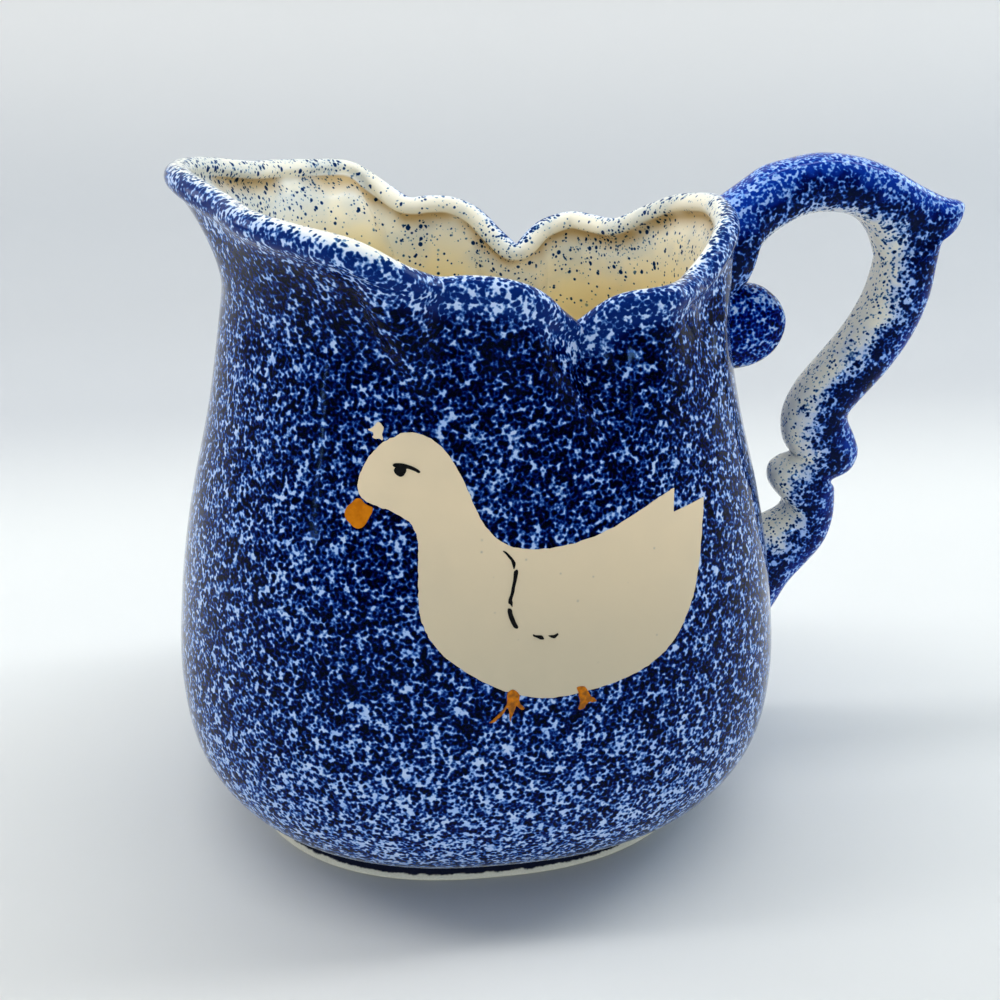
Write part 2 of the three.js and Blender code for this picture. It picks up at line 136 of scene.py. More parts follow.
def wall_half_width(height):
    """The outside's half width at a height, on a smooth curve through the wall's rows."""
    height = min(max(height, WALL[0][0]), WALL[-1][0])
    last = len(WALL) - 1
    k = max(i for i in range(last) if WALL[i][0] <= height)

    def secant(i):
        (h0, w0), (h1, w1) = WALL[i], WALL[i + 1]
        return (w1 - w0) / (h1 - h0)

    def slope(i):
        return (secant(max(i - 1, 0)) + secant(min(i, last - 1))) / 2

    (h0, w0), (h1, w1) = WALL[k], WALL[k + 1]
    span = h1 - h0
    t = (height - h0) / span
    return (
        w0 * (2 * t**3 - 3 * t**2 + 1)
        + slope(k) * span * (t**3 - 2 * t**2 + t)
        + w1 * (3 * t**2 - 2 * t**3)
        + slope(k + 1) * span * (t**3 - t**2)
    )


def wall_slope(height):
    """How much the half width grows over a millimetre of height."""
    return wall_half_width(height + NEAR) - wall_half_width(height - NEAR)


def plan_radius(angle):
    along_x = abs(math.cos(angle)) ** PLAN_SQUARENESS
    along_y = abs(math.sin(angle) / PLAN_DEPTH) ** PLAN_SQUARENESS
    return (along_x + along_y) ** (-1 / PLAN_SQUARENESS)


def plan_point(angle, half_width, height):
    radius = half_width * plan_radius(angle)
    return Vector((radius * math.cos(angle), radius * math.sin(angle), height))


def wall_point(angle, height):
    return plan_point(angle, wall_half_width(height), height)


def curve_point(points, place, closed=False):
    """A point on a smooth curve through points, place counting along them, and its direction."""
    last = len(points) - 1
    k = math.floor(place) if closed else min(math.floor(place), last - 1)
    t = place - k

    def at(i):
        if closed:
            return points[i % len(points)]
        if i < 0:
            return points[0] * 2 - points[1]
        if i > last:
            return points[last] * 2 - points[last - 1]
        return points[i]

    before, here, there, after = (at(k + i) for i in (-1, 0, 1, 2))
    leaving, arriving = (there - before) / 2, (after - here) / 2
    point = (
        here * (2 * t**3 - 3 * t**2 + 1)
        + leaving * (t**3 - 2 * t**2 + t)
        + there * (3 * t**2 - 2 * t**3)
        + arriving * (t**3 - t**2)
    )
    heading = (
        here * (6 * t**2 - 6 * t)
        + leaving * (3 * t**2 - 4 * t + 1)
        + there * (6 * t - 6 * t**2)
        + arriving * (3 * t**2 - 2 * t)
    )
    return point, heading


def rim_points():
    half = []
    for degrees, outset, rise in RIM:
        angle = math.radians(degrees)
        point = plan_point(angle, NECK_HALF_WIDTH, MOUTH_HEIGHT + rise)
        half.append(point + Vector((math.cos(angle), math.sin(angle), 0)) * outset)
    mirrored = [Vector((p.x, -p.y, p.z)) for p in reversed(half[1:-1])]
    return half + mirrored


class Column:
    """One upright line of the body: the roll's middle there, and the wall under it."""

    def __init__(self, points, index):
        self.middle, along = curve_point(points, index / COLUMNS * len(points), closed=True)
        along.normalize()
        self.angle = math.atan2(self.middle.y, self.middle.x)
        outset = self.middle.xy.length - NECK_HALF_WIDTH * plan_radius(self.angle)
        lean = outset * (OUTWARD_LEAN if outset > 0 else INWARD_LEAN)
        rising = Vector((lean * math.cos(self.angle), lean * math.sin(self.angle), 1))
        self.outwards = along.cross(rising).normalized()
        self.rising = self.outwards.cross(along).normalized()

    def flare(self):
        """The outside from the collar to the top of the wall."""
        start = self.middle.z - FLARE_DROP
        foot = wall_point(self.angle, start)
        edge = self.middle - self.rising * ROLL_DROP + self.outwards * (WALL_THICKNESS / 2)
        reach = (edge - foot).length / 3
        slope = wall_slope(start)
        leaving = Vector((slope * math.cos(self.angle), slope * math.sin(self.angle), 1))
        out = foot + leaving.normalized() * reach
        back = edge - self.rising * reach
        points = []
        for step in range(FLARE_STEPS + 1):
            t = step / FLARE_STEPS
            u = 1 - t
            points.append(foot * u**3 + out * (3 * u**2 * t) + back * (3 * u * t**2) + edge * t**3)
        return points

    def roll(self, turn):
        """A point on the rolled rim, turn being 0 outwards and a quarter turn at its top."""
        sideways = self.outwards * (ROLL_RADIUS * math.cos(turn))
        return self.middle + sideways + self.rising * (ROLL_RADIUS * math.sin(turn))


columns = [Column(rim_points(), index) for index in range(COLUMNS)]


def outside_rings():
    """The outside's rings, from the base to the top of the wall."""
    heights = [BASE_HEIGHT + BASE_EDGE]
    for level in [height for height, _ in WALL if BASE_HEIGHT < height <= SHOULDER_HEIGHT]:
        last = heights[-1]
        count = math.ceil((level - last) / RING_SPACING)
        heights += [mixed(last, level, (i + 1) / count) for i in range(count)]
    rings = [[wall_point(c.angle, height) for c in columns] for height in heights]
    for step in range(1, COLLAR_STEPS):
        share = step / COLLAR_STEPS
        rings.append([
            wall_point(c.angle, mixed(SHOULDER_HEIGHT, c.middle.z - FLARE_DROP, share))
            for c in columns
        ])
    flares = [c.flare() for c in columns]
    rings += [[flare[step] for flare in flares] for step in range(FLARE_STEPS + 1)]
    return heights, rings


def inside_ring(rings, ring):
    """A ring of the outside moved in by the wall's thickness."""
    moved = []
    for j, point in enumerate(rings[ring]):
        if ring == len(rings) - 1:
            normal = columns[j].outwards
        else:
            row = rings[ring]
            round_about = row[(j + 1) % COLUMNS] - row[j - 1]
            upwards = rings[ring + 1][j] - rings[max(ring - 1, 0)][j]
            normal = round_about.cross(upwards).normalized()
        below_roll = len(rings) - 1 - ring
        groove = ROLL_UNDERCUT * UNDERCUT_FADE**below_roll
        moved.append(point - normal * (WALL_THICKNESS - groove))
    return moved


# Modelling by hand

def start_piece(name):
    """Names the primitive that was just added."""
    piece = bpy.context.object
    piece.name = piece.data.name = name
    return piece


def deselect():
    bpy.ops.object.select_all(action="DESELECT")


def pick(piece):
    deselect()
    piece.select_set(True)
    bpy.context.view_layer.objects.active = piece


def edit_all(piece):
    """Goes into edit mode with all of a piece selected."""
    pick(piece)
    bpy.ops.object.mode_set(mode="EDIT")
    bpy.ops.mesh.select_all(action="SELECT")


def leave_edit():
    bpy.ops.object.mode_set(mode="OBJECT")


def set_points(piece, points):
    piece.data.vertices.foreach_set("co", [value for point in points for value in point])
    piece.data.update()


def face_outwards():
    """In edit mode: turns every face outwards."""
    bpy.ops.mesh.select_all(action="SELECT")
    bpy.ops.mesh.normals_make_consistent(inside=False)


def close_face():
    """In edit mode: closes the picked ring with one face."""
    bpy.ops.mesh.edge_face_add()


def close_grid():
    """In edit mode: closes the picked ring of the body with a square net."""
    bpy.ops.mesh.fill_grid(span=COLUMNS // 4)


def loft(name, rings, close=close_face, hoop=False):
    """A circle extruded ring after ring, with each ring set in its place and the ends closed.

    A hoop joins its last ring to its first instead.
    """
    deselect()
    bpy.ops.mesh.primitive_circle_add(vertices=len(rings[0]), radius=MM)
    piece = start_piece(name)
    edit_all(piece)
    for _ in rings[1:]:
        bpy.ops.mesh.extrude_region_move(TRANSFORM_OT_translate={"value": (0, 0, MM)})
    leave_edit()
    set_points(piece, [placed(point) for ring in rings for point in ring])
    bpy.ops.object.mode_set(mode="EDIT")
    if hoop:
        bpy.ops.mesh.select_all(action="DESELECT")
        bpy.ops.mesh.select_non_manifold()
        bpy.ops.mesh.bridge_edge_loops()
    else:
        close()
        bpy.ops.mesh.select_all(action="DESELECT")
        bpy.ops.mesh.select_non_manifold()
        close()
    face_outwards()
    leave_edit()
    return piece


def note(piece, name, rings, last=0.0, first=0.0):
    """Keeps one number for each point of a lofted piece, for its glaze to read.

    last and first are for the points that close its last and its first ring.
    """
    values = [float(value) for ring in rings for value in ring]
    spare = (len(piece.data.vertices) - len(values)) // 2
    values += [last] * spare + [first] * spare
    piece.data.attributes.new(name, "FLOAT", "POINT").data.foreach_set("value", values)


def apply(piece, kind, **settings):
    pick(piece)
    modifier = piece.modifiers.new(kind.lower(), kind)
    for key, value in settings.items():
        setattr(modifier, key, value)
    bpy.ops.object.modifier_apply(modifier=modifier.name)


def soften(piece):
    """One even subdivision and smooth shading."""
    apply(piece, "SUBSURF", levels=1, render_levels=1)
    bpy.ops.object.shade_smooth()


def finish_piece(piece, material, slot, *nodes):
    piece.data.materials.clear()
    piece.data.materials.append(material)
    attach(piece, "root")
    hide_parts(*nodes)


# Body

def make_body():
    """The wall, its rolled rim and its inside, in one skin from the underside to the floor.

    lining goes from 0 outside, over the roll, to 1 inside. rim_drop is the way down from the rim.
    """
    heights, outside = outside_rings()
    rings = [[plan_point(c.angle, half_width, BASE_HEIGHT) for c in columns]
             for half_width in UNDERSIDE]
    lining = [[0] * COLUMNS for _ in rings]
    rings += outside
    lining += [[0] * COLUMNS for _ in outside]
    for step in range(ROLL_STEPS + 1):
        share = step / ROLL_STEPS
        rings.append([c.roll(mixed(ROLL_START, ROLL_END, share)) for c in columns])
        lining.append([share] * COLUMNS)
    inside = [inside_ring(outside, ring)
              for ring in range(len(outside) - 1, heights.index(HEEL_HEIGHT) - 1, -1)]
    inside += [[plan_point(c.angle, *row) for c in columns] for row in FLOOR]
    rings += inside
    lining += [[1] * COLUMNS for _ in inside]
    drop = [[c.middle.z - point.z for c, point in zip(columns, ring)] for ring in rings]
    body = loft("pitcher_body", rings, close_grid)
    note(body, "lining", lining, 1.0, 0.0)
    note(body, "rim_drop", drop, MOUTH_HEIGHT - FLOOR_HEIGHT, MOUTH_HEIGHT - BASE_HEIGHT)
    soften(body)
    return body


# Foot

FOOT_SHIFT = -1.6  # along x, towards the lip
# Half width and height round the foot's section
FOOT = [(61.0, 0.55), (60.5, 1.15), (59.7, 1.8), (59.3, 2.5), (59.2, 3.1), (57.5, 3.4), (54, 3.4),
        (52.6, 3.2), (52.5, 2.2), (52.5, 0.8), (53.3, 0.05), (54.5, 0), (58.5, 0), (60.6, 0.1)]


def make_foot():
    shift = Vector((FOOT_SHIFT, 0, 0))
    rings = [[plan_point(c.angle, *row) + shift for c in columns] for row in FOOT]
    foot = loft("foot", rings, hoop=True)
    soften(foot)
    return foot


# Handle: outer edge x and rise, inner edge x and rise, half width.
# x is measured from the neck's half width, the rise from the mouth's height.
HANDLE = [
    (0.4, 7.6, -1.6, -17.5, 9.6),
    (2.4, 8.9, 4.4, -15.6, 9.2),
    (5.9, 11.4, 8.9, -12.6, 8.6),
    (9.4, 13.8, 10.7, -8.9, 8.3),
    (13.4, 16.4, 11.5, -4.2, 7.8),
    (20.0, 18.1, 15.0, 0.3, 7.5),
    (27.4, 19.2, 22.7, 4.7, 7.5),
    (36.3, 18.2, 31.5, 5.3, 7.5),
    (44.5, 15.5, 37.6, 3.5, 7.5),
    (52.1, 11.6, 41.1, 0.1, 7.2),
    (59.4, 8.4, 42.4, -2.6, 6.4),
    (64.4, 6.9, 43.2, -4.7, 6.2),
    (63.2, 1.5, 43.8, -6.3, 6.2),
    (59.6, -1.0, 44.1, -7.8, 7.2),
    (58.8, -6.4, 43.9, -10.3, 7.5),
    (58.2, -15.4, 42.4, -16.3, 7.5),
    (55.2, -25.3, 38.7, -23.4, 7.5),
    (49.8, -34.4, 33.2, -30.8, 7.5),
    (43.3, -42.3, 27.6, -38.0, 7.5),
    (40.8, -46.5, 24.5, -45.4, 7.4),
    (43.6, -52.2, 24.6, -51.8, 7.2),
    (45.2, -57.0, 26.2, -55.6, 7.2),
    (43.4, -61.8, 27.6, -57.2, 6.8),
    (38.7, -64.5, 27.3, -57.7, 6.3),
    (39.7, -66.6, 24.6, -58.6, 6.9),
    (40.1, -68.8, 22.1, -60.9, 7.2),
    (40.4, -71.8, 22.1, -64.8, 7.2),
    (40.3, -75.4, 24.3, -68.3, 7.2),
    (39.1, -80.2, 27.1, -71.2, 7.5),
    (37.1, -84.4, 26.0, -73.5, 7.5),
    (33.4, -89.4, 22.1, -75.3, 7.5),
]
# The lower end, with x measured from the wall at each height instead
HANDLE_FOOT = [
    (10.6, -94.7, 3.0, -76.8, 7.8),
    (6.8, -101.6, -0.6, -77.8, 8.5),
    (2.6, -108.6, -2.4, -79.0, 9.0),
    (-1.6, -113.0, -3.2, -80.5, 9.4),
]
# The round curl under the handle's root: its upper and lower edges, from the wall outwards
CURL = [
    (-2.6, -12.3, -2.6, -32.6, 7.4),
    (2.0, -11.9, 2.0, -32.8, 7.1),
    (8.7, -11.5, 8.7, -33.1, 7.0),
    (14.2, -12.0, 14.2, -31.9, 6.9),
    (18.4, -14.8, 18.4, -28.9, 6.0),
    (20.6, -18.3, 20.6, -24.6, 4.0),
    (21.2, -20.9, 21.2, -21.9, 1.0),
]
HANDLE_SQUARENESS = 2.5  # of its section
HANDLE_SIDES = 28
STEPS_PER_ROW = 4


def from_neck(outer_x, outer_rise, inner_x, inner_rise, half_width):
    outer = Vector((NECK_HALF_WIDTH + outer_x, half_width, MOUTH_HEIGHT + outer_rise))
    inner = Vector((NECK_HALF_WIDTH + inner_x, half_width, MOUTH_HEIGHT + inner_rise))
    return outer, inner


def from_wall(outer_x, outer_rise, inner_x, inner_rise, half_width):
    outer_height, inner_height = MOUTH_HEIGHT + outer_rise, MOUTH_HEIGHT + inner_rise
    outer = Vector((wall_half_width(outer_height) + outer_x, half_width, outer_height))
    inner = Vector((wall_half_width(inner_height) + inner_x, half_width, inner_height))
    return outer, inner


def bulged(value):
    return math.copysign(abs(value) ** (2 / HANDLE_SQUARENESS), value)


def make_strap(name, stations):
    """A rounded strap between two edge lines, each carrying the half width as its y."""
    outer_line = [outer for outer, _ in stations]
    inner_line = [inner for _, inner in stations]
    rings, outward, along = [], [], []
    steps = (len(stations) - 1) * STEPS_PER_ROW
    for step in range(steps + 1):
        outer, _ = curve_point(outer_line, step / STEPS_PER_ROW)
        inner, _ = curve_point(inner_line, step / STEPS_PER_ROW)
        middle, thick = (outer + inner) / 2, (outer - inner) / 2
        middle.y = thick.y = 0
        turns = [side / HANDLE_SIDES * math.tau for side in range(HANDLE_SIDES)]
        rings.append([
            middle
            + thick * bulged(math.cos(turn))
            - Vector((0, outer.y * bulged(math.sin(turn)), 0))
            for turn in turns
        ])
        outward.append([math.cos(turn) for turn in turns])
        along.append([step / steps] * HANDLE_SIDES)
    strap = loft(name, rings)
    note(strap, "outward", outward)
    note(strap, "along", along)
    soften(strap)
    return strap


# Duck: points across and up from its middle
DUCK_ACROSS = 8.0
DUCK_HEIGHT = 80.0
DUCK = [
    (27.9, 16.7), (22.6, 14.9), (11.1, 10.5), (0.4, 8.7), (-7.9, 9.8), (-12.9, 14.5), (-16.5, 22.9),
    (-20.4, 29.2), (-26.0, 32.0), (-31.5, 29.9), (-35.2, 26.0), (-37.0, 21.5), (-36.3, 18.9),
    (-34.2, 17.8), (-30.2, 16.5), (-26.8, 14.1), (-25.8, 10.7), (-26.0, 6.2), (-26.2, -1.3),
    (-25.7, -4.9), (-23.9, -9.0), (-19.9, -13.5), (-13.9, -17.6), (-8.7, -20.3), (-2.5, -22.0),
    (2.4, -22.2), (9.4, -21.4), (16.3, -20.1), (22.7, -17.8), (27.7, -14.0), (31.4, -8.0),
    (33.5, -0.7), (35.4, 13.0),
]
DUCK_TAIL_NOTCH = (27.5, 11.9)
BILL = [
    (-37.6, 18.6), (-37.1, 18.8), (-36.7, 18.8), (-36.3, 18.5), (-35.8, 17.9), (-35.0, 17.5),
    (-34.4, 17.3), (-34.3, 16.9), (-34.5, 16.2), (-35.0, 15.4), (-35.5, 14.5), (-36.0, 13.8),
    (-36.5, 13.3), (-37.3, 13.0), (-38.1, 13.2), (-38.7, 13.7), (-39.1, 14.1), (-39.6, 14.6),
    (-39.8, 15.4), (-39.7, 16.2), (-39.2, 17.1), (-38.5, 17.7),
]
EYE = [
    (-30.0, 25.6), (-29.7, 25.9), (-29.2, 26.0), (-28.4, 26.0), (-27.6, 25.9), (-27.0, 25.7),
    (-26.3, 25.5), (-25.5, 25.1), (-24.9, 24.7), (-24.7, 24.4), (-24.9, 24.2), (-25.2, 24.2),
    (-25.7, 24.5), (-26.5, 24.8), (-27.2, 25.0), (-27.4, 24.8), (-27.4, 24.5), (-27.7, 24.0),
    (-28.0, 23.6), (-28.5, 23.4), (-28.9, 23.5), (-29.4, 23.8), (-29.7, 24.2), (-29.8, 24.6),
    (-29.7, 24.9), (-29.5, 25.2), (-29.8, 25.3),
]
SMUDGE = [
    (-32.7, 33.6), (-32.4, 33.8), (-31.9, 33.5), (-31.6, 33.0), (-31.4, 32.7), (-31.6, 31.9),
    (-31.8, 31.4), (-31.7, 31.0), (-31.6, 30.5), (-31.9, 30.3), (-32.3, 30.6), (-32.9, 30.5),
    (-33.4, 30.6), (-33.7, 30.9), (-33.4, 31.2), (-33.6, 31.8), (-34.2, 32.0), (-34.4, 32.3),
    (-33.8, 32.5), (-33.2, 33.0),
]
WING_UPPER = [
    (-9.2, 8.8), (-8.5, 8.6), (-7.8, 7.9), (-7.2, 7.2), (-6.7, 6.4), (-6.7, 5.9), (-6.9, 5.3),
    (-7.1, 5.1), (-7.2, 5.4), (-7.4, 6.1), (-7.6, 6.8), (-8.0, 7.3), (-8.5, 8.0),
]
WING_MIDDLE = [
    (-7.1, 4.5), (-6.9, 4.8), (-6.4, 5.0), (-6.2, 4.5), (-6.4, 3.6), (-6.6, 2.7), (-6.9, 1.7),
    (-7.1, 0.6), (-7.4, -0.3), (-7.6, -1.0), (-7.5, -1.4), (-7.6, -2.4), (-7.8, -2.2), (-8.1, -1.8),
    (-8.4, -1.6), (-8.3, -0.8), (-7.9, 0.2), (-7.6, 1.6), (-7.3, 2.8), (-7.2, 3.7),
]
WING_LOWER = [
    (-8.5, -2.7), (-8.1, -2.7), (-7.7, -3.0), (-7.6, -3.7), (-7.4, -4.3), (-7.1, -5.2),
    (-6.8, -5.9), (-6.5, -6.5), (-6.7, -6.9), (-7.3, -6.7), (-7.6, -6.3), (-7.9, -5.7),
    (-8.3, -4.7), (-8.5, -3.9), (-8.6, -3.2),
]
DASH_LEFT = [
    (-3.6, -8.5), (-3.4, -8.3), (-3.1, -8.5), (-2.4, -8.6), (-1.7, -8.7), (-1.4, -9.1),
    (-1.3, -9.5), (-2.0, -9.5), (-2.5, -9.2), (-3.1, -8.9), (-3.4, -8.8),
]
DASH_RIGHT = [
    (-0.4, -8.9), (-0.2, -8.8), (0.6, -8.8), (1.1, -8.7), (1.5, -8.5), (1.7, -8.8), (1.3, -9.2),
    (0.9, -9.5), (0.2, -9.3),
]
FRONT_FOOT = [
    (-9.1, -20.7), (-8.6, -20.0), (-7.9, -19.7), (-7.2, -20.1), (-6.5, -21.0), (-6.6, -22.1),
    (-6.3, -23.1), (-5.5, -24.0), (-6.1, -24.3), (-6.7, -23.8), (-7.2, -23.3), (-7.4, -23.7),
    (-7.8, -24.8), (-8.3, -25.9), (-8.5, -26.8), (-8.7, -25.9), (-8.7, -24.8), (-8.9, -23.9),
    (-9.2, -23.6), (-9.7, -24.5), (-10.3, -25.3), (-11.1, -25.9), (-11.8, -26.6), (-12.9, -26.7),
    (-12.0, -26.1), (-11.4, -25.5), (-10.5, -24.6), (-9.6, -23.6), (-9.2, -22.9), (-9.1, -21.8),
]
BACK_FOOT = [
    (5.4, -20.6), (6.3, -20.4), (7.2, -20.6), (7.7, -21.4), (8.1, -22.2), (8.6, -23.0),
    (9.4, -23.6), (9.7, -24.2), (8.8, -24.3), (8.3, -24.1), (7.7, -24.4), (7.3, -24.8),
    (7.1, -25.3), (6.3, -25.6), (5.8, -25.4), (6.0, -24.7), (6.2, -23.8), (5.9, -22.6),
    (5.8, -21.7),
]
SLIP_LIFT = 0.22  # how far the slip stands off the glaze
ENAMEL_LIFT = 0.34
COAT_DEPTH = 0.5  # how far a coat reaches down from its face, into what carries it
COAT_CREASE = math.radians(40)  # edges that turn more than this stay sharp
STENCIL_WAVER = 0.2  # how far the duck's edge strays
DUCK_CELL, STROKE_CELL = 2.0, 1.0  # cells of the net that a coat is cut from
DUCK_STEPS, STROKE_STEPS = 8, 2  # points on a smooth outline for each one given
CUTTER_REACH = 5.0  # how far the cutter stands out on each side of the net
MERGE_WITHIN = 0.03  # points this near after the cut become one


def on_front_wall(x, z, lift):
    """A point of the front wall, across and up from the duck's middle, lifted off the glaze."""
    def at(px, pz):
        half_width = wall_half_width(pz)
        share = 1 - abs(px / half_width) ** PLAN_SQUARENESS
        return Vector((px, -half_width * PLAN_DEPTH * share ** (1 / PLAN_SQUARENESS), pz))

    sideways = at(x + NEAR, z) - at(x - NEAR, z)
    upwards = at(x, z + NEAR) - at(x, z - NEAR)
    return at(x, z) + sideways.cross(upwards).normalized() * lift


def rounded(outline):
    """More points along a closed outline, on a smooth curve."""
    points = [Vector((x, y, 0)) for x, y in outline]
    places = [i / STROKE_STEPS for i in range(len(points) * STROKE_STEPS)]
    return [curve_point(points, place, closed=True)[0] for place in places]


def duck_outline():
    """The duck's outline: smooth from the upper tail tip round to the lower one, then the notch."""
    points = [Vector((x, y, 0)) for x, y in DUCK]
    places = [i / DUCK_STEPS for i in range((len(points) - 1) * DUCK_STEPS + 1)]
    smooth = [curve_point(points, place)[0] for place in places]
    # The stencil leaves a slightly uneven edge.
    uneven = [p + Vector((noise.noise(p), noise.noise(-p), 0)) * STENCIL_WAVER for p in smooth]
    return uneven + [Vector((*DUCK_TAIL_NOTCH, 0))]


def make_cutter(name, outline):
    """An upright block with the outline as its plan."""
    deselect()
    bpy.ops.mesh.primitive_circle_add(vertices=len(outline), radius=MM)
    cutter = start_piece(name)
    set_points(cutter, [(point - Vector((0, 0, CUTTER_REACH))) * MM for point in outline])
    edit_all(cutter)
    close_face()
    height = 2 * CUTTER_REACH * MM
    bpy.ops.mesh.extrude_region_move(TRANSFORM_OT_translate={"value": (0, 0, height)})
    face_outwards()
    leave_edit()
    return cutter


def make_coat(name, outline, lift, cell):
    """A thin coat: a net cut to the outline, then bent over the front wall."""
    cutter = make_cutter(name + "_cutter", outline)
    low = Vector((min(p.x for p in outline) - cell, min(p.y for p in outline) - cell, 0))
    high = Vector((max(p.x for p in outline) + cell, max(p.y for p in outline) + cell, 0))
    size = high - low
    deselect()
    bpy.ops.mesh.primitive_grid_add(
        x_subdivisions=math.ceil(size.x / cell), y_subdivisions=math.ceil(size.y / cell), size=1)
    coat = start_piece(name)
    edit_all(coat)
    bpy.ops.transform.resize(value=(size.x * MM, size.y * MM, 1))
    bpy.ops.transform.translate(value=(low + high) / 2 * MM)
    leave_edit()
    apply(coat, "SOLIDIFY", thickness=COAT_DEPTH * MM, offset=-1)
    apply(coat, "BOOLEAN", operation="INTERSECT", solver="EXACT", object=cutter)
    bpy.data.objects.remove(cutter)
    edit_all(coat)
    bpy.ops.mesh.remove_doubles(threshold=MERGE_WITHIN * MM)
    leave_edit()
    flat = [vertex.co / MM for vertex in coat.data.vertices]
    set_points(coat, [
        placed(on_front_wall(DUCK_ACROSS + p.x, DUCK_HEIGHT + p.y, lift + p.z)) for p in flat
    ])
    bpy.ops.object.shade_smooth_by_angle(angle=COAT_CREASE)
    return coat


# Finishes

class Value:
    """A shader socket that takes part in plain arithmetic."""

    def __init__(self, finish, socket):
        self.finish = finish
        self.socket = socket

    def out(self, name):
        """Another output of the same node."""
        return Value(self.finish, self.socket.node.outputs[name])

    def math(self, operation, first, second, clamp=False):
        settings = {"operation": operation, "use_clamp": clamp}
        return self.finish.node("ShaderNodeMath", settings, {0: first, 1: second})

    def __add__(self, other):
        return self.math("ADD", self, other)

    def __radd__(self, other):
        return self.math("ADD", other, self)

    def __sub__(self, other):
        return self.math("SUBTRACT", self, other)

    def __rsub__(self, other):
        return self.math("SUBTRACT", other, self)

    def __mul__(self, other):
        return self.math("MULTIPLY", self, other)

    def __rmul__(self, other):
        return self.math("MULTIPLY", other, self)

    def __pow__(self, other):
        return self.math("POWER", self, other)

    def __abs__(self):
        return self.math("ABSOLUTE", self, 0.0)

    def above(self, floor):
        return self.math("MAXIMUM", self, floor)

    def below(self, ceiling):
        return self.math("MINIMUM", self, ceiling)

    def clamped(self):
        return self.math("ADD", self, 0.0, clamp=True)

    def step(self, low, high):
        """0 below low, 1 above high, and a smooth rise between. low may be the larger."""
        return self.finish.node(
            "ShaderNodeMapRange",
            {"interpolation_type": "SMOOTHSTEP"},
            {"Value": self, "From Min": low, "From Max": high},
        )


SEED_STRIDES = (3.1, 5.3, 7.9)
DROP_BLUR = 0.09  # softness of a drop's edge, in cells
DROP_MISSING = 0.02  # softness of the choice of drops
NET_LEVEL = 7.15  # with no cover, the blue starts where net and drift come to less than this
NET_CURVE, NET_DEPTH = 1.5, 0.6  # how the blue deepens from there


